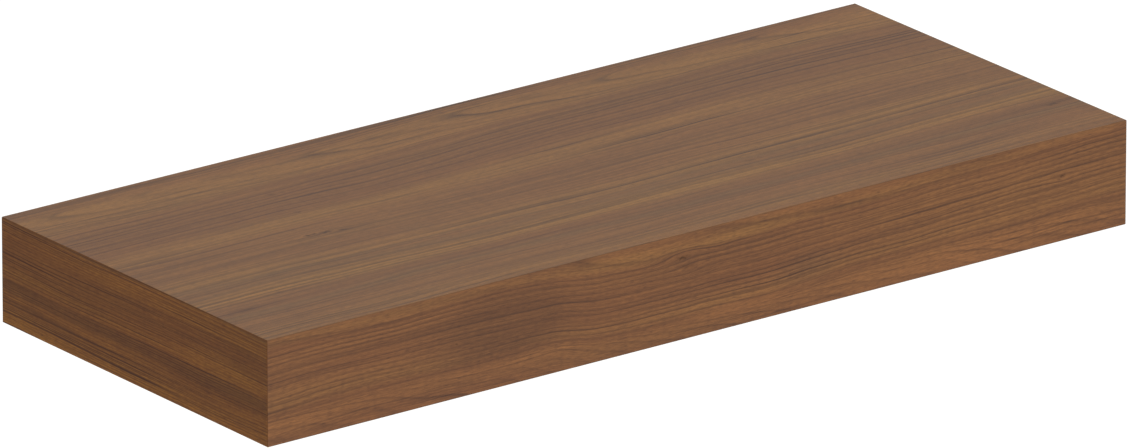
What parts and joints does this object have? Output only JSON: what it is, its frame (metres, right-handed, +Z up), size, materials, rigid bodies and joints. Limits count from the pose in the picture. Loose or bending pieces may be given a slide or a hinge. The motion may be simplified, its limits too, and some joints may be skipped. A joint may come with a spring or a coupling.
{
  "type": "floating wall shelf",
  "caption": "Box shelf in mitred walnut veneer that slides onto hidden steel rods of a wall plate and is clamped by set screws from below.",
  "frame": {"origin": "middle of the wall plate's back face, on the wall, halfway up the shelf", "axes": "+X along the wall to the right as seen from the room, +Y into the wall, +Z up"},
  "size_m": [0.6096, 0.254, 0.0636],
  "materials": {
    "walnut_veneer": "satin",
    "mdf_core": "matte",
    "poplar": "matte",
    "black_powder_coat": "fine texture",
    "zinc_plated_steel": "satin",
    "black_oxide_steel": "satin",
    "brass": "satin"
  },
  "bodies": {
    "bracket": {"wall_plate": "black_powder_coat", "rod_left": "zinc_plated_steel", "rod_centre": "zinc_plated_steel", "rod_right": "zinc_plated_steel", "rod_screws": "black_oxide_steel"},
    "shelf": {"top_panel": "mdf_core", "top_veneer": "walnut_veneer", "bottom_panel": "mdf_core", "bottom_veneer": "walnut_veneer", "front_panel": "mdf_core", "front_veneer": "walnut_veneer", "left_end_panel": "mdf_core", "left_end_veneer": "walnut_veneer", "right_end_panel": "mdf_core", "right_end_veneer": "walnut_veneer", "back_rail": "poplar", "front_rail": "poplar", "rod_block_left": "poplar", "rod_block_centre": "poplar", "rod_block_right": "poplar", "threaded_inserts": "brass"},
    "set_screw_left": {"set_screw_left": "black_oxide_steel"},
    "set_screw_centre": {"set_screw_centre": "black_oxide_steel"},
    "set_screw_right": {"set_screw_right": "black_oxide_steel"}
  },
  "joints": [
    {"name": "shelf_slide", "type": "slide", "parent": "bracket", "child": "shelf", "axis": [0, -1, 0], "range_m": [0, 0.2]},
    {"name": "set_screw_left_travel", "type": "slide", "parent": "shelf", "child": "set_screw_left", "axis": [0, 0, -1], "range_m": [0, 0.006]},
    {"name": "set_screw_centre_travel", "type": "slide", "parent": "shelf", "child": "set_screw_centre", "axis": [0, 0, -1], "range_m": [0, 0.006]},
    {"name": "set_screw_right_travel", "type": "slide", "parent": "shelf", "child": "set_screw_right", "axis": [0, 0, -1], "range_m": [0, 0.006]}
  ]
}
